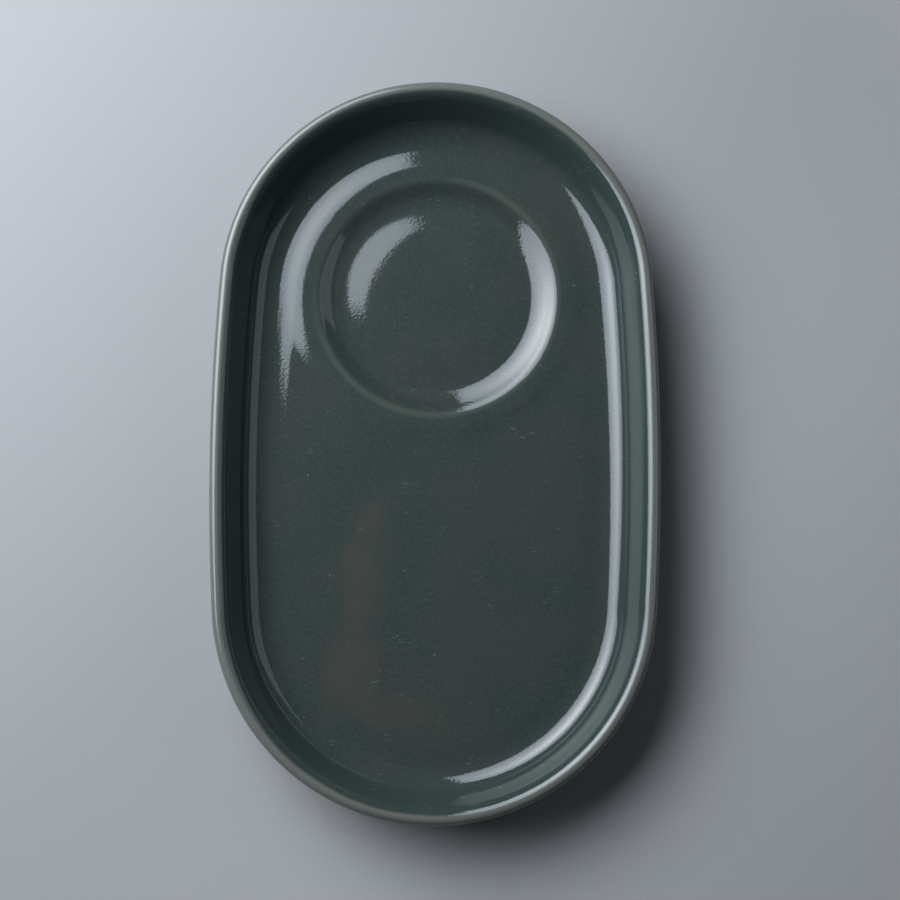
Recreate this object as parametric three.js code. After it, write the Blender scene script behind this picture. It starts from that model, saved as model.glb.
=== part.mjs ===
// An oblong stoneware plate with a cup well at one end: one fired clay body in a skin of glaze.
// Millimetres, +Z up, +Y towards the end with the cup well.
// The origin is under the middle of the plate, on the surface that its foot stands on.

import * as THREE from "three";
import { mergeVertices } from "three/addons/utils/BufferGeometryUtils.js";

// Overall sizes, over the lip and its glaze
const LENGTH = 250;
const WIDTH = 150;
const HEIGHT = 25;
const SIDE_BOW = 1.8; // by which half the width is more than the radius of the ends

// Shell: the wall and the floor have the same thickness, glaze included, and the lip is a full round
const THICKNESS = 5.2;
const WALL_DRAFT = 22; // degrees that the wall leans out from the vertical
const COVE_RADIUS = 11.5; // inside, from the floor into the wall

// Cup well, at the end of the plate
const WELL_OFFSET = 1.4; // of its centre from the centre of the plate's end, outwards
const WELL_FLOOR_DIAMETER = 64;
const WELL_WALL_RUN = 12; // from the floor of the well out to its crest, seen from above
const WELL_DEPTH = 3; // from the crest down to the floor of the well
const CREST_RISE = 0.6; // of the crest over the floor of the plate
const APRON_MARGIN = 1; // left flat between the fall of the crest and the cove

// Foot ring, under the start of the cove
const FOOT_LAND = 3; // width of the flat that stands on the table
const FOOT_EDGE_RADIUS = 0.8; // on both edges of that flat
const FOOT_DRAFT = 20; // degrees that both sides of the foot lean
const BOSS_CLEARANCE = 1.4; // from the table to the boss that the well makes underneath

// Glaze coats
const GLAZE_INSIDE = 0.4;
const GLAZE_OUTSIDE = 0.35;
const GLAZE_UNDERSIDE = 0.3;
const GLAZE_BROKEN = 0.15; // on the lip and the crest, where it runs thin in the kiln

// Facets
const END_STEPS = 20; // round each end of the plate
const SIDE_STEPS = 4; // along each side
const ROUND_STEPS = 40; // round the well
const COVE_STEPS = 6;
const LIP_STEPS = 8;
const WELL_STEPS = 6; // up the wall of the well
const APRON_STEPS = 3; // down from its crest
const EDGE_STEPS = 3; // round each edge of the foot

// Finishes
const CLAY = { color: 0xb4aa9b, roughness: 0.8 };
const DEEP_GREEN = { color: 0x36423f, roughness: 0.12 };
const BROKEN_GREY = { color: 0x6e7470, roughness: 0.25 };

const { degToRad, lerp, smoothstep } = THREE.MathUtils;

// The section of the shell, in a plane square to the outline: x is the inset from the lip's outer edge,
// and y is z. Along it, an angle is the direction that the inside surface faces.
const draft = degToRad(WALL_DRAFT);
const bossHeight = WELL_DEPTH - CREST_RISE;
const undersideZ = BOSS_CLEARANCE + bossHeight;
const floorZ = undersideZ + THICKNESS;
const lipRadius = THICKNESS / 2;
const lipCentre = new THREE.Vector2(lipRadius, HEIGHT - lipRadius);
const reach = lipRadius + COVE_RADIUS;
const wallLength = (lipCentre.y + reach * Math.sin(draft) - floorZ - COVE_RADIUS) / Math.cos(draft);
const coveCentre = new THREE.Vector2(
  lipCentre.x + reach * Math.cos(draft) + wallLength * Math.sin(draft),
  floorZ + COVE_RADIUS,
);

// The outline in plan: an arc round each end, and a flatter arc along each side, meeting without a corner
const halfWidth = WIDTH / 2;
const endRadius = halfWidth - SIDE_BOW;
const endCentre = new THREE.Vector2(0, LENGTH / 2 - endRadius);
const sideRadius = (halfWidth ** 2 + endCentre.y ** 2 - endRadius ** 2) / (2 * SIDE_BOW);
const sideCentre = new THREE.Vector2(sideRadius - halfWidth, 0); // of the side on the left
const sideTurn = Math.atan2(endCentre.y, sideCentre.x); // half the angle that a side turns through

const wellY = endCentre.y + WELL_OFFSET;
const wellFloorRadius = WELL_FLOOR_DIAMETER / 2;
const crestRadius = wellFloorRadius + WELL_WALL_RUN;
const apronRadius = endRadius - coveCentre.x - WELL_OFFSET - APRON_MARGIN;

function onArc(centre, radius, angle) {
  return new THREE.Vector2(Math.cos(angle), Math.sin(angle)).multiplyScalar(radius).add(centre);
}

// A place on a section: the surface of the glaze, and the surface of the clay straight under it
function station(glazed, facing, glaze) {
  return { glazed, clay: onArc(glazed, -glaze, facing) };
}

function steps(count, make) {
  return Array.from({ length: count + 1 }, (_, step) => make(step / count));
}

// Inside, from the floor up the cove to the start of the straight wall
const insideStations = steps(COVE_STEPS, (share) => {
  const angle = lerp(Math.PI / 2, draft, share);
  return station(onArc(coveCentre, -COVE_RADIUS, angle), angle, GLAZE_INSIDE);
});

// Lip, from the top of the inside wall over to the top of the outside wall
const lipStations = steps(LIP_STEPS, (share) => {
  const angle = draft + Math.PI * share;
  return station(onArc(lipCentre, lipRadius, angle), angle, GLAZE_BROKEN);
});

// Foot, in bare clay. Its outer side runs up until it meets the clay of the outside wall.
const footDraft = degToRad(FOOT_DRAFT);
const footOuterEdge = new THREE.Vector2(coveCentre.x - FOOT_LAND / 2, FOOT_EDGE_RADIUS);
const footInnerEdge = new THREE.Vector2(coveCentre.x + FOOT_LAND / 2, FOOT_EDGE_RADIUS);
const down = 1.5 * Math.PI;

const outsideRadius = COVE_RADIUS + THICKNESS;
const outsideClayRadius = outsideRadius - GLAZE_OUTSIDE;
const outerFlankFoot = onArc(footOuterEdge, FOOT_EDGE_RADIUS, Math.PI + footDraft);
const fromCove = outerFlankFoot.clone().sub(coveCentre);
const flankRise = new THREE.Vector2(-Math.sin(footDraft), Math.cos(footDraft));
const along = flankRise.dot(fromCove);
const flankLength = -along - Math.sqrt(along ** 2 - fromCove.lengthSq() + outsideClayRadius ** 2);
const flankTop = outerFlankFoot.clone().addScaledVector(flankRise, flankLength);
const glazeLineAngle = coveCentre.clone().sub(flankTop).angle();

function innerFlank(z) {
  const start = onArc(footInnerEdge, FOOT_EDGE_RADIUS, -footDraft);
  return new THREE.Vector2(start.x + (z - start.y) * Math.tan(footDraft), z);
}

const footPoints = [
  ...steps(EDGE_STEPS, (share) =>
    onArc(footOuterEdge, FOOT_EDGE_RADIUS, lerp(Math.PI + footDraft, down, share))),
  ...steps(EDGE_STEPS, (share) =>
    onArc(footInnerEdge, FOOT_EDGE_RADIUS, lerp(down, 2 * Math.PI - footDraft, share))),
];

// Outside, from the bottom of the straight wall round to the glaze line above the foot
const outsideStations = steps(COVE_STEPS, (share) => {
  const angle = lerp(draft, glazeLineAngle, share);
  return station(onArc(coveCentre, -outsideRadius, angle), angle + Math.PI, GLAZE_OUTSIDE);
});

// Underside, where its coat ends against the inner side of the foot
const undersideEdge = {
  glazed: innerFlank(undersideZ),
  clay: innerFlank(undersideZ + GLAZE_UNDERSIDE),
};

// Cup well: x is the radius from its centre. The glaze thins towards the crest.
function wellStation(radius, z, glaze) {
  return station(new THREE.Vector2(radius, z), Math.PI / 2, glaze);
}

const apronStations = steps(APRON_STEPS, (share) => {
  const rise = smoothstep(share, 0, 1);
  const glaze = lerp(GLAZE_INSIDE, GLAZE_BROKEN, rise);
  return wellStation(lerp(apronRadius, crestRadius, share), floorZ + CREST_RISE * rise, glaze);
});

const wellWallStations = steps(WELL_STEPS, (share) => {
  const fall = smoothstep(share, 0, 1);
  const glaze = lerp(GLAZE_BROKEN, GLAZE_INSIDE, fall);
  const z = floorZ + CREST_RISE - WELL_DEPTH * fall;
  return wellStation(lerp(crestRadius, wellFloorRadius, share), z, glaze);
});

const wellStations = [...apronStations, ...wellWallStations.slice(1)];

// The boss underneath follows the wall of the well down from the level of the plate's floor, so that the
// clay keeps its thickness. The wall passes that level at the share where its smooth step has fallen by
// the rise of the crest.
const floorLevelShare = 0.5 - Math.sin(Math.asin(1 - (2 * CREST_RISE) / WELL_DEPTH) / 3);
const bossStations = steps(WELL_STEPS, (step) => {
  const share = lerp(floorLevelShare, 1, step);
  const z = undersideZ + CREST_RISE - WELL_DEPTH * smoothstep(share, 0, 1);
  return wellStation(lerp(crestRadius, wellFloorRadius, share), z, -GLAZE_UNDERSIDE);
});

// Closed rings of points, anticlockwise from above
function plateRing({ x: inset, y: z }) {
  const end = steps(END_STEPS, (share) =>
    onArc(endCentre, endRadius - inset, lerp(sideTurn, Math.PI - sideTurn, share)));
  const side = steps(SIDE_STEPS, (share) =>
    onArc(sideCentre, sideRadius - inset, lerp(Math.PI - sideTurn, Math.PI + sideTurn, share)));
  const half = [...end, ...side.slice(1, -1)];
  return [1, -1].flatMap((way) => half.map(({ x, y }) => new THREE.Vector3(way * x, way * y, z)));
}

function wellRing({ x: radius, y: z }) {
  return Array.from({ length: ROUND_STEPS }, (_, step) => {
    const angle = (2 * Math.PI * step) / ROUND_STEPS;
    return new THREE.Vector3(radius * Math.cos(angle), wellY + radius * Math.sin(angle), z);
  });
}

// Triangles between rings. A strip faces up where its second ring lies outside its first.
function strip(first, second) {
  return first.flatMap((corner, i) => {
    const next = (i + 1) % first.length;
    return [[corner, second[i], second[next]], [corner, second[next], first[next]]];
  });
}

function strips(rings) {
  return rings.slice(1).flatMap((ring, i) => strip(rings[i], ring));
}

function flipped(triangles) {
  return triangles.map(([a, b, c]) => [a, c, b]);
}

// A level sheet from an edge in to a round hole, then the rings of the well down to its floor, facing up
function basin(edge, rings) {
  const corners = [...edge, ...rings[0]];
  const faces = THREE.ShapeUtils.triangulateShape(edge, [rings[0]]);
  const sheet = faces.map((face) => face.map((i) => corners[i]));
  const floorRing = rings.at(-1);
  const centre = new THREE.Vector3(0, wellY, floorRing[0].z);
  const disc = floorRing.map((corner, i) => [centre, corner, floorRing[(i + 1) % floorRing.length]]);
  return [...sheet, ...flipped(strips(rings)), ...disc];
}

function wellRings(stations, layer) {
  return stations.map((place) => wellRing(place[layer]));
}

// A solid between an upper and a lower basin, with a rim of rings from the one round to the other
function vessel(rim, upperWell, lowerWell) {
  const rings = rim.map(plateRing);
  return [
    ...basin(rings[0], upperWell),
    ...strips(rings),
    ...flipped(basin(rings.at(-1), lowerWell)),
  ];
}

// The surface of a coat, there along the glaze and back along the clay
function thereAndBack(stations) {
  const glazed = stations.map((place) => place.glazed);
  const clay = stations.map((place) => place.clay).reverse();
  return [...glazed, ...clay];
}

// A coat that runs round the plate as a closed band
function band(stations) {
  const rings = thereAndBack(stations).map(plateRing);
  return strips([...rings, rings[0]]);
}

const shellStations = [...insideStations, ...lipStations, ...outsideStations];
const bodyRim = [
  ...shellStations.map((place) => place.clay),
  ...footPoints,
  undersideEdge.glazed,
  undersideEdge.clay,
];

const stonewareBody = vessel(bodyRim, wellRings(wellStations, "clay"), wellRings(bossStations, "clay"));

const interiorGlaze = vessel(
  thereAndBack([...insideStations, lipStations[0]]),
  wellRings(wellStations, "glazed"),
  wellRings(wellStations, "clay"),
);

const lipGlaze = band(lipStations);

const exteriorGlaze = band([lipStations.at(-1), ...outsideStations]);

const undersideGlaze = vessel(
  [undersideEdge.clay, undersideEdge.glazed],
  wellRings(bossStations, "clay"),
  wellRings(bossStations, "glazed"),
);

function subPart(name, triangles, finish) {
  const geometry = mergeVertices(new THREE.BufferGeometry().setFromPoints(triangles.flat()));
  geometry.computeVertexNormals();
  const mesh = new THREE.Mesh(geometry, new THREE.MeshStandardMaterial({ ...finish, metalness: 0 }));
  mesh.name = name;
  return mesh;
}

const plate = new THREE.Group();
plate.add(
  subPart("stoneware_body", stonewareBody, CLAY),
  subPart("interior_glaze", interiorGlaze, DEEP_GREEN),
  subPart("lip_glaze", lipGlaze, BROKEN_GREY),
  subPart("exterior_glaze", exteriorGlaze, DEEP_GREEN),
  subPart("underside_glaze", undersideGlaze, DEEP_GREEN),
);

export default plate;
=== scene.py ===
import math

import bpy
import numpy as np
from mathutils import Matrix, Vector


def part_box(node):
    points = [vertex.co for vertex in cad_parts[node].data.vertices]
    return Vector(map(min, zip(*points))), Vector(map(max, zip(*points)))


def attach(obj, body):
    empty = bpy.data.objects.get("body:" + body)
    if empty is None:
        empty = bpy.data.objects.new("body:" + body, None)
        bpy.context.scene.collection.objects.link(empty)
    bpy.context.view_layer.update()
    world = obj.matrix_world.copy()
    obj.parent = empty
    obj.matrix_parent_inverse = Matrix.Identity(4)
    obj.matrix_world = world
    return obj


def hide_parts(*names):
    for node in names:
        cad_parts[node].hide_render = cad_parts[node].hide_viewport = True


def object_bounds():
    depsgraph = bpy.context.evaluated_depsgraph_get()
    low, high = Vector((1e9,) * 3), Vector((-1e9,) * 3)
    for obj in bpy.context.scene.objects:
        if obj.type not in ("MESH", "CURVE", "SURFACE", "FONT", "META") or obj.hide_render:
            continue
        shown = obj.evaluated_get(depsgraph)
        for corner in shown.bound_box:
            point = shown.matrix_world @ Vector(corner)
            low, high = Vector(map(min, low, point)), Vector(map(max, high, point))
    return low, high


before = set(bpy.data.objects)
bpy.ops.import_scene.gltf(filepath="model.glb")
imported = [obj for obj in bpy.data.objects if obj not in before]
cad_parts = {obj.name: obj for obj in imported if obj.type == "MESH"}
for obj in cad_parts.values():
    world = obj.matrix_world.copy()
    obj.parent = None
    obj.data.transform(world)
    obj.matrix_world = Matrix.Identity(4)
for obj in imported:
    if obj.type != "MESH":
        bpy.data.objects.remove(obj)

# The plate, in metres, in the frame of the CAD part: +Y towards the cup well, standing on z = 0
cad_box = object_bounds()
WIDTH = cad_box[1][0] - cad_box[0][0]
LENGTH = cad_box[1][1] - cad_box[0][1]
HEIGHT = cad_box[1][2]

MM = 0.001
SIDE_BOW = 1.8 * MM
THICKNESS = 5.2 * MM
WALL_DRAFT = math.radians(22)
COVE_RADIUS = 11.5 * MM
UNDERSIDE_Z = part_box("underside_glaze")[1][2]
GLAZE_UNDERSIDE = 0.3 * MM
FLOOR_Z = UNDERSIDE_Z - GLAZE_UNDERSIDE + THICKNESS
GLAZE_INSIDE = 0.4 * MM
GLAZE_OUTSIDE = 0.35 * MM
GLAZE_BROKEN = 0.15 * MM
FOOT_LAND = 3 * MM
FOOT_EDGE_RADIUS = 0.8 * MM
FOOT_DRAFT = math.radians(20)
WELL_OFFSET = 1.4 * MM
CREST_RADIUS = 45 * MM
CREST_REACH = 4 * MM

# Slope of the well from its centre outwards: radius in millimetres, rise in degrees
WELL_SLOPES = [
    (0, 0), (12, 0.1), (18, 0.3), (22, -1.5), (26, -3.9), (29.5, -3.6), (32, -1), (33, 9), (34, 14),
    (35, 17), (36.4, 20.5), (37.6, 24), (38.8, 26.5), (39.8, 26.5), (40.6, 22), (41.3, 14), (42, 6),
    (42.8, 3), (44.4, 2.5), (46, 0.3), (47.3, -3.6), (48.8, -5), (51, -4.7), (53.5, 0),
]

# Fall of the floor towards its edge: inset from the outline in millimetres, degrees
EDGE_FALLS = [(18.6, 0), (20, 0.8), (21.5, 2.4), (23.5, 3), (25.5, 0), (28, 0)]

# Inside, the wall turns over a soft shoulder into the lip, and through a tight bend into the cove. A turn
# has the direction that the surface faces at its start and at its end, in degrees, and its radius in
# millimetres, which is negative where the turn is hollow.
INSIDE_DRAFT = 24
LIP_TURNS = [(INSIDE_DRAFT, 32, 12), (32, 50, 5.5), (50, 70, 4.8), (70, 202, 2.25)]
COVE_TURNS = [(90, 54, -12), (54, INSIDE_DRAFT, -6)]

# The glaze breaks over the lip, between these facings in degrees, and this far down the outside
BREAK_FACINGS = [52, 80]
BREAK_DROP = 3.5 * MM

# Section of the solid shell, square to the outline: inset from the lip's outer edge, and height
LIP_RADIUS = THICKNESS / 2
LIP_CENTRE = np.array([LIP_RADIUS, HEIGHT - LIP_RADIUS])
LIP_TO_COVE = LIP_RADIUS + COVE_RADIUS
WALL_DROP = LIP_CENTRE[1] + LIP_TO_COVE * math.sin(WALL_DRAFT) - FLOOR_Z - COVE_RADIUS
WALL_RUN = LIP_TO_COVE * math.cos(WALL_DRAFT) + WALL_DROP * math.tan(WALL_DRAFT)
COVE_CENTRE = np.array([LIP_CENTRE[0] + WALL_RUN, FLOOR_Z + COVE_RADIUS])

# The outline in plan: an arc round each end, and a flatter arc along each side
END_RADIUS = WIDTH / 2 - SIDE_BOW
END_Y = LENGTH / 2 - END_RADIUS
SIDE_RADIUS = ((WIDTH / 2) ** 2 + END_Y ** 2 - END_RADIUS ** 2) / (2 * SIDE_BOW)
SIDE_X = SIDE_RADIUS - WIDTH / 2
SIDE_TURN = math.atan2(END_Y, SIDE_X)
WELL = np.array([0, END_Y + WELL_OFFSET])

# Mesh density
END_POINTS = 150
SIDE_POINTS = 50
NEAR_ROWS = 150
FAR_ROWS = 40
EDGE_ROWS = 36
BOSS_ROWS = 60
WALL_ROWS = 8
BEND_ROWS = 20
FOOT_ROUND_ROWS = 9
TURN_ROWS = 4
DEGREES_PER_ROW = 4
CLIMB_STEPS = 3000
ROUND_REACH = 56 * MM
ROUND_SHARE = 0.9
EDGE_REACH = 30 * MM


def arc(centre, radius, start, stop, count):
    """Points and outward normals along an arc of the section; a negative radius faces its centre."""
    angles = np.linspace(start, stop, count)
    facing = np.stack([np.cos(angles), np.sin(angles)], axis=1)
    return centre + radius * facing, facing


def outline():
    """Centre, radius and outward direction of the outline at points along it, anticlockwise."""
    side_start = math.pi - SIDE_TURN
    side_stop = math.pi + SIDE_TURN
    end, end_out = arc(np.array([0, END_Y]), 0, SIDE_TURN, side_start, END_POINTS)
    side, side_out = arc(np.array([SIDE_X, 0]), 0, side_start, side_stop, SIDE_POINTS + 2)
    centres = np.concatenate([end, side[1:-1]])
    radii = np.concatenate([np.full(END_POINTS, END_RADIUS), np.full(SIDE_POINTS, SIDE_RADIUS)])
    outward = np.concatenate([end_out, side_out[1:-1]])
    return np.concatenate([centres, -centres]), np.tile(radii, 2), np.concatenate([outward, -outward])


def turned(turns):
    """Points and facings along turns that follow on from each other."""
    points = [np.zeros((1, 2))]
    facings = []
    for start, stop, radius in turns:
        count = TURN_ROWS + abs(stop - start) // DEGREES_PER_ROW
        path, facing = arc(np.zeros(2), radius * MM, math.radians(start), math.radians(stop), count)
        points.append(points[-1][-1] + path[1:] - path[0])
        facings.append(facing[1:] if facings else facing)
    return np.concatenate(points), np.concatenate(facings)


CENTRES, RADII, OUTWARD = outline()
lip, lip_facing = turned(LIP_TURNS)
lip += np.array([0, HEIGHT]) - (lip[:, 0].min(), lip[:, 1].max())
cove, cove_facing = turned(COVE_TURNS)
inside_drop = lip[0][1] - FLOOR_Z - cove[-1][1]
FLOOR_EDGE = lip[0][0] + inside_drop * math.tan(math.radians(INSIDE_DRAFT)) - cove[-1][0]
cove += (FLOOR_EDGE, FLOOR_Z)


def plate_ring(inset, z):
    """A ring parallel to the outline."""
    flat = CENTRES + OUTWARD * (RADII - inset)[:, None]
    return np.column_stack([flat, np.full(len(flat), z)])


FROM_WELL = plate_ring(EDGE_REACH, 0)[:, :2] - WELL
REACHES = np.linalg.norm(FROM_WELL, axis=1)
NEAR_REACHES = np.minimum(ROUND_REACH, ROUND_SHARE * REACHES)
WELL_OUTWARD = FROM_WELL / REACHES[:, None]


def eased(x, points):
    """Smooth steps through (x, y) points."""
    xs, ys = np.array(points, float).T
    index = np.clip(np.searchsorted(xs, x, side="right") - 1, 0, len(xs) - 2)
    share = np.clip((x - xs[index]) / (xs[index + 1] - xs[index]), 0, 1)
    share = share * share * (3 - 2 * share)
    return ys[index] + (ys[index + 1] - ys[index]) * share


def climb(slopes):
    """Places and heights along a line with the given slopes, level with zero at its far end."""
    places = np.linspace(slopes[0][0], slopes[-1][0], CLIMB_STEPS)
    slope = np.tan(np.radians(eased(places, slopes)))
    heights = np.concatenate([[0], np.cumsum((slope[1:] + slope[:-1]) / 2 * np.diff(places))])
    return places * MM, (heights - heights[-1]) * MM


well_places, well_heights = climb(WELL_SLOPES)
edge_places, edge_heights = climb(EDGE_FALLS)


def well_rise(flat):
    """How far the well lifts the plate's floor at places in plan."""
    return np.interp(np.linalg.norm(flat - WELL, axis=1), well_places, well_heights)


def inset_of(flat):
    """Inset of places in plan from the outline."""
    x, y = np.abs(flat).T
    from_end = END_RADIUS - np.hypot(x, y - END_Y)
    from_side = SIDE_RADIUS - np.hypot(x + SIDE_X, y)
    return np.where(np.arctan2(y, x + SIDE_X) > SIDE_TURN, from_end, from_side)


def edge_fall(flat):
    """How far the floor falls towards its edge; the wall takes the fall back up to the lip."""
    inset = inset_of(flat)
    share = np.interp(inset, [lip[0][0], cove[-1][0]], [0, 1])
    return np.interp(inset, edge_places, edge_heights) * share


def lifted(ring):
    """A ring of the inside, moved up or down with the well and the edge of the floor."""
    return ring + np.outer(well_rise(ring[:, :2]) + edge_fall(ring[:, :2]), [0, 0, 1])


def floor_places():
    """Rings in plan: round the well, then on towards the floor's edge, and there parallel to the outline."""
    near = [NEAR_REACHES * share for share in np.linspace(0, 1, NEAR_ROWS + 1)[1:]]
    onward = REACHES - NEAR_REACHES
    far = [NEAR_REACHES + onward * share for share in np.linspace(0, 1, FAR_ROWS + 1)[1:]]
    insets = np.linspace(EDGE_REACH, FLOOR_EDGE, EDGE_ROWS + 1)[1:]
    edge = [plate_ring(inset, 0)[:, :2] for inset in insets]
    return [WELL + WELL_OUTWARD * reach[:, None] for reach in near + far] + edge


def floor_rings(drop):
    """Rings of the floor, with the glaze or, by its drop, the clay under it."""
    rings = []
    for flat in floor_places():
        ring = np.column_stack([flat, np.full(len(flat), FLOOR_Z)])
        rings.append(lifted(ring) - np.outer(drop(np.linalg.norm(flat - WELL, axis=1)), [0, 0, 1]))
    return rings


def mesh_piece(name, rings, centre_first=None, centre_last=None, closed=False, sharp=(), broken=None):
    """A piece skinned over rings of points, with a centre point at either end, or closed on itself. The
    rings listed as sharp are corners, and broken says how thin the glaze ran at each ring."""
    count = len(OUTWARD)
    points = list(np.concatenate(rings))
    faces = []
    step = np.arange(count)
    following = (step + 1) % count
    pairs = [(i, i + 1) for i in range(len(rings) - 1)]
    if closed:
        pairs.append((len(rings) - 1, 0))
    for first, second in pairs:
        a = first * count
        b = second * count
        quads = np.stack([a + step, b + step, b + following, a + following], axis=1)
        faces.extend(quads.tolist())
    neighbours = list(zip(step.tolist(), following.tolist()))
    if centre_first is not None:
        faces.extend([[len(points), i, j] for i, j in neighbours])
        points.append(np.array(centre_first))
    if centre_last is not None:
        last = (len(rings) - 1) * count
        faces.extend([[len(points), last + j, last + i] for i, j in neighbours])
        points.append(np.array(centre_last))
    mesh = bpy.data.meshes.new(name)
    mesh.from_pydata([tuple(p) for p in points], [], faces)
    mesh.polygons.foreach_set("use_smooth", [True] * len(mesh.polygons))
    ends = np.zeros(2 * len(mesh.edges), int)
    mesh.edges.foreach_get("vertices", ends)
    first_ring, second_ring = (ends.reshape(-1, 2) // count).T
    corner = (first_ring == second_ring) & np.isin(first_ring, sharp)
    mesh.edges.foreach_set("use_edge_sharp", corner)
    if broken is not None:
        shares = mesh.attributes.new("broken", "FLOAT", "POINT")
        shares.data.foreach_set("value", np.repeat(broken, count))
    mesh.update()
    piece = bpy.data.objects.new(name, mesh)
    bpy.context.scene.collection.objects.link(piece)
    return piece


def rings_of(section):
    """Rings parallel to the outline, one for each point of a section."""
    return [plate_ring(inset, z) for inset, z in section]


def straight(start, stop, count):
    """Points between two places, leaving both out."""
    return np.linspace(start, stop, count + 2)[1:-1]


# Section of the inside and the lip
inside_glazed = np.concatenate([cove, straight(cove[-1], lip[0], WALL_ROWS), lip[:1]])
inside_facing = np.concatenate([cove_facing, np.tile(lip_facing[0], (WALL_ROWS + 1, 1))])
inside_wall_coat = np.linspace(GLAZE_INSIDE, GLAZE_BROKEN, WALL_ROWS + 2)[1:]
inside_coat = np.concatenate([np.full(len(cove), GLAZE_INSIDE), inside_wall_coat])
inside_clay = inside_glazed - inside_facing * inside_coat[:, None]
lip_clay = lip - lip_facing * GLAZE_BROKEN

# Section of the foot
DOWN = 1.5 * math.pi
outer_edge = np.array([COVE_CENTRE[0] - FOOT_LAND / 2, FOOT_EDGE_RADIUS])
inner_edge = np.array([COVE_CENTRE[0] + FOOT_LAND / 2, FOOT_EDGE_RADIUS])
outer_round, _ = arc(outer_edge, FOOT_EDGE_RADIUS, math.pi + FOOT_DRAFT, DOWN, FOOT_ROUND_ROWS)
inner_round, _ = arc(inner_edge, FOOT_EDGE_RADIUS, DOWN, 2 * math.pi - FOOT_DRAFT, FOOT_ROUND_ROWS)

# Section of the outside: it bends round the cove down to the glaze line, where the foot's flank meets it
OUTSIDE_RADIUS = COVE_RADIUS + THICKNESS
CLAY_OUTSIDE_RADIUS = OUTSIDE_RADIUS - GLAZE_OUTSIDE
flank_rise = np.array([-math.sin(FOOT_DRAFT), math.cos(FOOT_DRAFT)])
from_cove = outer_round[0] - COVE_CENTRE
along = flank_rise @ from_cove
flank_length = -along - math.sqrt(along ** 2 - from_cove @ from_cove + CLAY_OUTSIDE_RADIUS ** 2)
flank_top = outer_round[0] + flank_rise * flank_length
glaze_line = math.atan2(*(COVE_CENTRE - flank_top)[::-1])
bend, bend_facing = arc(COVE_CENTRE, -OUTSIDE_RADIUS, WALL_DRAFT, glaze_line, BEND_ROWS)
outside_glazed = np.concatenate([lip[-1:], straight(lip[-1], bend[0], WALL_ROWS), bend])
outside_facing = -np.concatenate([np.tile(bend_facing[0], (WALL_ROWS + 1, 1)), bend_facing])
outside_wall_coat = np.linspace(GLAZE_BROKEN, GLAZE_OUTSIDE, WALL_ROWS + 2)[:-1]
outside_coat = np.concatenate([outside_wall_coat, np.full(len(bend), GLAZE_OUTSIDE)])
outside_clay = outside_glazed - outside_facing * outside_coat[:, None]


def inner_flank(z):
    """The point of the foot's inner flank at a height."""
    start = inner_round[-1]
    return np.array([start[0] + (z - start[1]) * math.tan(FOOT_DRAFT), z])


underside_clay_edge = inner_flank(UNDERSIDE_Z)
underside_glazed_edge = inner_flank(UNDERSIDE_Z - GLAZE_UNDERSIDE)


def boss_rings(lift, edge_inset):
    """Rings of the underside from the middle of the boss out to the foot."""
    edge = plate_ring(edge_inset, 0)[:, :2] - WELL
    level = UNDERSIDE_Z - GLAZE_UNDERSIDE
    rings = []
    for share in np.linspace(0, 1, BOSS_ROWS + 1)[1:]:
        flat = WELL + edge * share
        z = level + np.minimum(well_rise(flat), 0) + lift
        rings.append(np.column_stack([flat, z]))
    return rings


def inside_coat_at(reach):
    """Thickness of the floor's glaze, which runs thin over the crest of the well."""
    thin = np.exp(-((reach - CREST_RADIUS) / CREST_REACH) ** 2)
    return GLAZE_INSIDE + (GLAZE_BROKEN - GLAZE_INSIDE) * thin


# Pieces
glazed_floor = floor_rings(np.zeros_like)
clay_floor = floor_rings(inside_coat_at)
glazed_inside = [lifted(ring) for ring in rings_of(inside_glazed[1:])]
clay_inside = [lifted(ring) for ring in rings_of(inside_clay[1:])]
well_middle = (*WELL, FLOOR_Z + well_heights[0])
clay_middle = (*WELL, well_middle[2] - GLAZE_INSIDE)
boss_middle = (*WELL, well_middle[2] - THICKNESS)
boss_clay_middle = (*WELL, boss_middle[2] + GLAZE_UNDERSIDE)
boss_clay = boss_rings(GLAZE_UNDERSIDE, underside_clay_edge[0])
boss_glazed = boss_rings(0, underside_glazed_edge[0])

body = mesh_piece(
    "clay_body",
    clay_floor + clay_inside + rings_of(lip_clay[1:]) + rings_of(outside_clay[1:])
    + rings_of(outer_round) + rings_of(inner_round) + rings_of([underside_glazed_edge]) + boss_clay[::-1],
    centre_first=clay_middle,
    centre_last=boss_clay_middle,
)
interior_skin = glazed_floor + glazed_inside
interior = mesh_piece(
    "glaze_interior",
    interior_skin + clay_inside[::-1] + clay_floor[::-1],
    centre_first=well_middle,
    centre_last=clay_middle,
    sharp=[len(interior_skin) - 1, len(interior_skin)],
)


def glaze_band(name, glazed, clay, broken):
    """A closed band of glaze, with its glazed skin first and its clay skin after it."""
    count = len(glazed)
    return mesh_piece(
        name,
        rings_of(glazed) + rings_of(clay[::-1]),
        closed=True,
        sharp=[0, count - 1, count, 2 * count - 1],
        broken=np.concatenate([broken, broken[::-1]]),
    )


lip_angles = np.degrees(np.arctan2(lip_facing[:, 1], lip_facing[:, 0])) % 360
lip_broken = np.interp(lip_angles, BREAK_FACINGS, [0, 1])
outside_broken = np.interp(outside_glazed[:, 1], [lip[-1][1] - BREAK_DROP, lip[-1][1]], [0, 1])
lip_band = glaze_band("glaze_lip", lip, lip_clay, lip_broken)
exterior = glaze_band("glaze_exterior", outside_glazed, outside_clay, outside_broken)
underside = mesh_piece(
    "glaze_underside",
    boss_clay + boss_glazed[::-1],
    centre_first=boss_clay_middle,
    centre_last=boss_middle,
    sharp=[len(boss_clay) - 1, len(boss_clay)],
)

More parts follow.
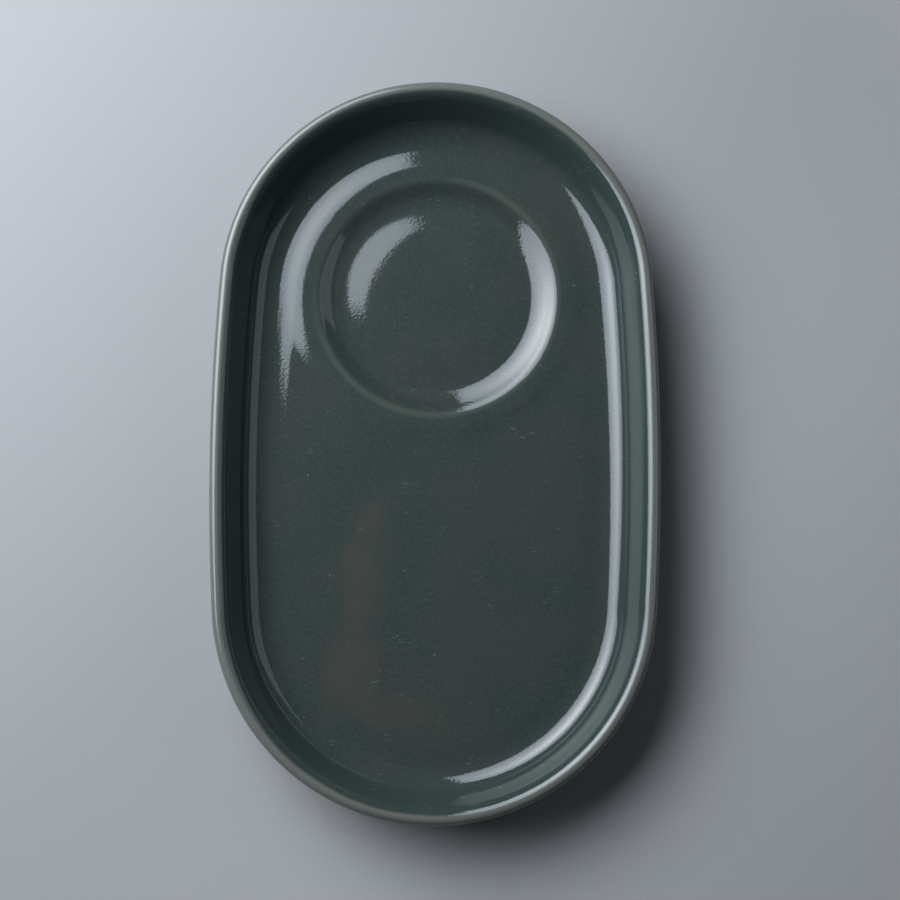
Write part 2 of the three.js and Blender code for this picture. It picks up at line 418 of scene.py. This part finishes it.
for piece, node, slot in [
    (body, "stoneware_body", "stoneware"),
    (interior, "interior_glaze", "green_glaze"),
    (lip_band, "lip_glaze", "broken_glaze"),
    (exterior, "exterior_glaze", "green_glaze"),
    (underside, "underside_glaze", "green_glaze"),
]:
    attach(piece, "root")
    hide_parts(node)


class Nodes:
    """Builds the nodes of a material, a light or the world."""

    def __init__(self, tree):
        self.tree = tree

    def add(self, kind, **settings):
        node = self.tree.nodes.new(kind)
        for key, value in settings.items():
            setattr(node, key, value)
        return node

    def put(self, socket, value):
        if isinstance(value, bpy.types.NodeSocket):
            self.tree.links.new(value, socket)
        else:
            socket.default_value = value

    def math(self, operation, first, second=0.0, third=0.0):
        node = self.add("ShaderNodeMath", operation=operation)
        for socket, value in zip(node.inputs, (first, second, third)):
            self.put(socket, value)
        return node.outputs[0]

    def times(self, first, second):
        return self.math("MULTIPLY", first, second)

    def away(self, value, middle):
        """How far a value lies from a middle."""
        return self.math("ABSOLUTE", self.math("SUBTRACT", value, middle))

    def ramp(self, value, low, high):
        """A smooth step from nought at low to one at high."""
        node = self.add("ShaderNodeMapRange", interpolation_type="SMOOTHSTEP")
        self.put(node.inputs["Value"], value)
        node.inputs["From Min"].default_value = low
        node.inputs["From Max"].default_value = high
        return node.outputs["Result"]

    def window(self, value, start, full, ebb, end):
        """Rises from nought at start to one at full, and falls from one at ebb to nought at end."""
        return self.times(self.ramp(value, start, full), self.ramp(value, end, ebb))

    def mix(self, share, first, second):
        """A colour between two colours."""
        node = self.add("ShaderNodeMix", data_type="RGBA")
        self.put(node.inputs["Factor"], share)
        for socket, value in zip((node.inputs[6], node.inputs[7]), (first, second)):
            self.put(socket, value if isinstance(value, bpy.types.NodeSocket) else (*value, 1.0))
        return node.outputs[2]

    def split(self, vector):
        node = self.add("ShaderNodeSeparateXYZ")
        self.put(node.inputs[0], vector)
        return node.outputs


class Shader(Nodes):
    """Builds one material's nodes, with patterns placed in the piece's own frame."""

    BUMP_HEIGHT = 0.2 * MM

    def __init__(self, name):
        self.material = bpy.data.materials.new(name)
        self.material.use_nodes = True
        super().__init__(self.material.node_tree)
        self.surface = self.tree.nodes["Principled BSDF"]
        self.place = self.add("ShaderNodeTexCoord").outputs["Object"]

    def noise(self, scale, detail, vector=None):
        node = self.add("ShaderNodeTexNoise")
        self.put(node.inputs["Vector"], self.place if vector is None else vector)
        self.put(node.inputs["Scale"], scale)
        self.put(node.inputs["Detail"], detail)
        return node.outputs["Fac"]

    def bump(self, height, strength):
        node = self.add("ShaderNodeBump")
        self.put(node.inputs["Height"], height)
        node.inputs["Strength"].default_value = strength
        node.inputs["Distance"].default_value = self.BUMP_HEIGHT
        self.put(self.surface.inputs["Normal"], node.outputs["Normal"])


# Colours of the glaze and the clay
GREEN = (0.040, 0.055, 0.0505)
GREEN_GRAIN = tuple(1.5 * channel for channel in GREEN)
BROWNER = (0.050, 0.0595, 0.0525)
WALL_GREEN = (0.042, 0.060, 0.0545)
BROKEN = (0.150, 0.158, 0.138)
OLIVE = (0.074, 0.089, 0.076)
RUST = (0.068, 0.0685, 0.057)
SPECK = (0.20, 0.21, 0.20)
BLACK = (0.0, 0.0, 0.0)
CLAY_DARK = (0.40, 0.35, 0.28)
CLAY_PALE = (0.52, 0.46, 0.38)
CLAY_SPECKLE = (0.16, 0.12, 0.09)
GLAZE_IOR = 1.62
CLAY_ROUGHNESS = 0.8

# Radii of the olive line on the crest of the well and of the painted shade, a dark line, along the foot of
# its wall
CREST_LINE = 41.9 * MM
WELL_FOOT_SHADE = 38 * MM

# Rusty cloud on the open floor: a band that wanders about a leaning line, and a swirl across its foot
BAND_X = -20.8 * MM
BAND_LEAN = 0.1
BAND_WANDER = 18 * MM
BAND_SPREAD = 4 * MM
BAND_ALONG = (-96 * MM, -82 * MM, -27 * MM, -13 * MM)
SWIRL_Y = -76 * MM
SWIRL_WAVE = 30 * MM
SWIRL_ACROSS = (-46 * MM, -30 * MM, -10 * MM, 12 * MM)

# Scuffs lie along one direction, and are longer than wide
SCUFF_TURN = 0.7
SCUFF_STRETCH = 5
SPECK_CELLS = 120.0


def lip_share(s):
    """Where the glaze breaks over the lip, with a ragged edge."""
    broken = s.add("ShaderNodeAttribute", attribute_name="broken").outputs["Fac"]
    ragged = s.math("MULTIPLY_ADD", s.noise(60, 2), 0.4, -0.2)
    return s.ramp(s.math("ADD", broken, ragged), 0.2, 0.8)


def crest_share(s, x, from_well, radius):
    """Where the glaze breaks over the crest of the well. The line is left out on the side towards -X and +Y,
    where the well's wall faces away from the light, as painted shade.
    """
    line = s.ramp(s.away(radius, CREST_LINE), 1.8 * MM, 0.3 * MM)
    # painted shade: the olive line fades out on the side towards -X and +Y
    return s.times(line, s.ramp(s.math("SUBTRACT", x, from_well), -52 * MM, -16 * MM))


def cloud_share(s, x, y):
    """Where the glaze clouds to rust on the open floor."""
    wander = s.math("MULTIPLY_ADD", s.noise(45, 3), BAND_WANDER, -BAND_WANDER / 2)
    slant = s.math("ADD", s.math("MULTIPLY_ADD", y, -BAND_LEAN, -BAND_X), x)
    off_band = s.math("ABSOLUTE", s.math("ADD", slant, wander))
    off_band = s.math("MULTIPLY_ADD", s.ramp(y, -58 * MM, -76 * MM), -BAND_SPREAD, off_band)
    band = s.times(s.ramp(off_band, 9 * MM, 2.5 * MM), s.window(y, *BAND_ALONG))
    wave = s.math("MULTIPLY_ADD", s.noise(30, 3), SWIRL_WAVE, s.math("SUBTRACT", y, SWIRL_Y))
    off_swirl = s.math("ABSOLUTE", wave)
    swirl = s.times(s.ramp(off_swirl, 7 * MM, 1 * MM), s.window(x, *SWIRL_ACROSS))
    clumps = s.math("MULTIPLY_ADD", s.ramp(s.noise(80, 4), 0.3, 0.65), 0.55, 0.45)
    return s.times(s.math("MAXIMUM", band, s.times(swirl, 0.7)), clumps)


def speck_share(s):
    """A few pale specks."""
    cells = s.add("ShaderNodeTexVoronoi")
    s.put(cells.inputs["Vector"], s.place)
    s.put(cells.inputs["Scale"], SPECK_CELLS)
    tint = s.add("ShaderNodeSeparateColor")
    s.put(tint.inputs[0], cells.outputs["Color"])
    chosen = s.math("GREATER_THAN", tint.outputs[0], 0.66)
    return s.times(s.ramp(cells.outputs["Distance"], 0.07, 0.03), chosen)


def scuff_share(s):
    """Faint scuffs in clusters."""
    strokes = s.add("ShaderNodeMapping")
    s.put(strokes.inputs["Vector"], s.place)
    strokes.inputs["Rotation"].default_value = (0, 0, SCUFF_TURN)
    strokes.inputs["Scale"].default_value = (1, SCUFF_STRETCH, 1)
    fine = s.ramp(s.noise(420, 1, strokes.outputs["Vector"]), 0.62, 0.72)
    return s.times(fine, s.ramp(s.noise(130, 2), 0.585, 0.69))


def glaze_material():
    """Glossy green glaze that breaks over edges, pools greener on the wall, clouds and holds small marks. It
    has painted shade along the foot of the well's wall and on the crest's side towards -X and +Y.
    """
    s = Shader("reactive_glaze")
    x, y, z = s.split(s.place)
    from_well = s.math("SUBTRACT", y, float(WELL[1]))
    radius = s.math("SQRT", s.math("ADD", s.times(x, x), s.times(from_well, from_well)))
    over_lip = lip_share(s)
    grain = s.ramp(s.noise(900, 3), 0.4, 0.65)
    # painted shade: a dark line along the foot of the well's wall
    foot = s.ramp(s.away(radius, WELL_FOOT_SHADE), 3.4 * MM, 0.6 * MM)
    colour = s.mix(s.ramp(s.noise(40, 5), 0.35, 0.65), GREEN, BROWNER)
    colour = s.mix(s.times(grain, 0.35), colour, GREEN_GRAIN)
    colour = s.mix(s.ramp(z, FLOOR_Z + 0.5 * MM, FLOOR_Z + 5 * MM), colour, WALL_GREEN)
    # painted shade: the foot of the well's wall darkened towards black
    colour = s.mix(s.times(foot, 0.15), colour, BLACK)
    colour = s.mix(s.times(cloud_share(s, x, y), 0.9), colour, RUST)
    colour = s.mix(s.times(scuff_share(s), 0.36), colour, SPECK)
    colour = s.mix(s.times(crest_share(s, x, from_well, radius), 0.9), colour, OLIVE)
    colour = s.mix(s.times(speck_share(s), 0.4), colour, SPECK)
    s.put(s.surface.inputs["Base Color"], s.mix(over_lip, colour, BROKEN))
    gloss = s.math("MULTIPLY_ADD", s.noise(300, 2), 0.02, 0.015)
    s.put(s.surface.inputs["Roughness"], s.math("MULTIPLY_ADD", over_lip, 0.1, gloss))
    s.surface.inputs["IOR"].default_value = GLAZE_IOR
    s.bump(s.noise(1500, 1), 0.085)
    return s.material


def clay_material():
    """Bare fired clay, matte and finely speckled."""
    s = Shader("bare_stoneware")
    speckle = s.ramp(s.noise(2200, 2), 0.62, 0.72)
    colour = s.mix(s.noise(90, 4), CLAY_DARK, CLAY_PALE)
    s.put(s.surface.inputs["Base Color"], s.mix(s.times(speckle, 0.5), colour, CLAY_SPECKLE))
    s.surface.inputs["Roughness"].default_value = CLAY_ROUGHNESS
    s.bump(s.noise(1800, 3), 0.35)
    return s.material


glaze = glaze_material()
for piece in (interior, lip_band, exterior, underside):
    piece.data.materials.append(glaze)
body.data.materials.append(clay_material())


# Studio
FLOOR_SIZE = 6.0
FLOOR_COLOUR = (0.376, 0.374, 0.373)
# Painted light: the floor's colour grows paler towards +X and -Y
FLOOR_PAINTED_LIGHT = tuple(1.22 * channel for channel in FLOOR_COLOUR)
FLOOR_PAINTED_LIGHT_FROM = -0.04
FLOOR_PAINTED_LIGHT_TO = 0.14
FLOOR_ROUGHNESS = 0.75
FLOOR_SPECULAR = 0.2
FLOOR_FADE_FROM = 0.2
FLOOR_FADE_TO = 0.34
EDGE_TINT = (0.88, 1.0, 1.13)
CORE_TINT = (0.97, 1.0, 1.05)
HORIZON = (0.035, 0.036, 0.038)
ZENITH = (0.015, 0.0155, 0.0165)
PALE = (0.50, 0.515, 0.535)


def make_floor():
    """A pale floor with painted light that makes it a little paler towards +X and -Y, and that fades into
    the pale surroundings.
    """
    half = FLOOR_SIZE / 2
    corners = [(-half, -half, 0), (half, -half, 0), (half, half, 0), (-half, half, 0)]
    mesh = bpy.data.meshes.new("studio_floor")
    mesh.from_pydata(corners, [], [(0, 1, 2, 3)])
    floor = bpy.data.objects.new("studio_floor", mesh)
    bpy.context.scene.collection.objects.link(floor)
    s = Shader("studio_floor")
    x, y, _ = s.split(s.place)
    # painted light: paler towards +X and -Y
    paler = s.ramp(s.math("SUBTRACT", x, y), FLOOR_PAINTED_LIGHT_FROM, FLOOR_PAINTED_LIGHT_TO)
    s.put(s.surface.inputs["Base Color"], s.mix(paler, FLOOR_COLOUR, FLOOR_PAINTED_LIGHT))
    s.surface.inputs["Roughness"].default_value = FLOOR_ROUGHNESS
    s.surface.inputs["Specular IOR Level"].default_value = FLOOR_SPECULAR
    distance = s.add("ShaderNodeVectorMath", operation="LENGTH")
    s.put(distance.inputs[0], s.place)
    fading = s.add("ShaderNodeMixShader")
    s.put(fading.inputs["Fac"], s.ramp(distance.outputs["Value"], FLOOR_FADE_FROM, FLOOR_FADE_TO))
    s.put(fading.inputs[1], s.surface.outputs["BSDF"])
    s.put(fading.inputs[2], s.add("ShaderNodeBsdfTransparent").outputs["BSDF"])
    s.put(s.tree.nodes["Material Output"].inputs["Surface"], fading.outputs["Shader"])
    mesh.materials.append(s.material)


# Energy of an area light, for each square metre, at which its nodes' strength is its radiance
UNIT_ENERGY = 4


def off_squared(n, value, middle, reach):
    """Square of how far a value lies from a middle, counted in reaches."""
    off = n.math("MULTIPLY_ADD", value, 1 / reach, -middle / reach)
    return n.times(off, off)


def softbox(name, azimuth, height, out, across, edge, core=None, flags=()):
    """A level light with the radiance edge. Places out along it and across it are shares of its height. A
    core has the radiance that it adds, then its place and reach out along the light, and across it. A flag
    shades the near side, from a place across the light on, by a slope."""
    near, far = out
    low, high = across
    data = bpy.data.lights.new(name, "AREA")
    data.shape = "RECTANGLE"
    data.size = (far - near) * height
    data.size_y = (high - low) * height
    data.energy = UNIT_ENERGY * data.size * data.size_y
    data.use_nodes = True
    n = Nodes(data.node_tree)
    place = n.split(n.add("ShaderNodeNewGeometry").outputs["Parametric"])
    along = n.math("MULTIPLY_ADD", place[0], far - near, near)
    aside = n.math("MULTIPLY_ADD", place[1], high - low, low)
    glow = 0.0
    strength = edge
    if core is not None:
        radiance, core_out, core_across = core
        spread = n.math("ADD", off_squared(n, along, *core_out), off_squared(n, aside, *core_across))
        glow = n.math("EXPONENT", n.times(spread, -1))
        strength = n.math("MULTIPLY_ADD", glow, radiance, edge)
    limit = near
    for start, slope in flags:
        shaded = n.math("MAXIMUM", n.math("MULTIPLY_ADD", aside, slope, -start * slope), 0.0)
        limit = n.math("ADD", limit, shaded)
    strength = n.times(strength, n.math("GREATER_THAN", along, limit))
    emission = n.tree.nodes["Emission"]
    n.put(emission.inputs["Strength"], strength)
    n.put(emission.inputs["Color"], n.mix(glow, EDGE_TINT, CORE_TINT))
    light = bpy.data.objects.new(name, data)
    middle = Vector(((near + far) / 2, (low + high) / 2, 1)) * height
    light.matrix_world = Matrix.Rotation(azimuth, 4, "Z") @ Matrix.Translation(middle)
    light.visible_camera = False
    bpy.context.scene.collection.objects.link(light)


def make_world():
    """Dim surroundings, which the camera sees as a pale backdrop."""
    world = bpy.data.worlds.new("studio")
    bpy.context.scene.world = world
    world.use_nodes = True
    n = Nodes(world.node_tree)
    up = n.split(n.add("ShaderNodeTexCoord").outputs["Generated"])[2]
    sky = n.mix(n.ramp(up, 0.05, 0.5), HORIZON, ZENITH)
    seen = n.add("ShaderNodeLightPath").outputs["Is Camera Ray"]
    n.put(n.tree.nodes["Background"].inputs["Color"], n.mix(seen, sky, PALE))


make_floor()
make_world()
softbox(
    "key_softbox",
    azimuth=math.radians(161),
    height=0.57,
    out=(0.256, 3.0),
    across=(-1.58, 0.48),
    edge=2.12,
    core=(5.4, (1.13, 0.55), (-0.42, 0.7)),
    flags=[(-0.35, 0.43), (-0.56, -0.59)],
)
softbox("fill_card", azimuth=0.0, height=0.6, out=(0.72, 2.1), across=(-0.13, 0.7), edge=0.46)

# Camera: nearly straight above, leaning a little towards the end without the well
CAMERA_LEAN = math.radians(8.12)
CAMERA_ROLL = math.radians(0.256)
CAMERA_DISTANCE = 0.533
SENSOR_WIDTH = 36
FOCAL_PIXELS = 1602
IMAGE_SIDE = 900
TARGET = Vector((4.92 * MM, -2.66 * MM, HEIGHT - 2.2 * MM))


def make_camera():
    """The camera that frames the whole plate from above."""
    data = bpy.data.cameras.new("camera")
    data.sensor_width = SENSOR_WIDTH
    data.lens = FOCAL_PIXELS * SENSOR_WIDTH / IMAGE_SIDE
    camera = bpy.data.objects.new("camera", data)
    roll = Matrix.Rotation(CAMERA_ROLL, 4, "Z")
    turn = roll @ Matrix.Rotation(CAMERA_LEAN, 4, "X")
    middle = roll @ TARGET + turn @ Vector((0, 0, CAMERA_DISTANCE))
    camera.matrix_world = Matrix.Translation(middle) @ turn
    bpy.context.scene.collection.objects.link(camera)
    bpy.context.scene.camera = camera


make_camera()
bpy.context.scene.view_settings.view_transform = "Standard"
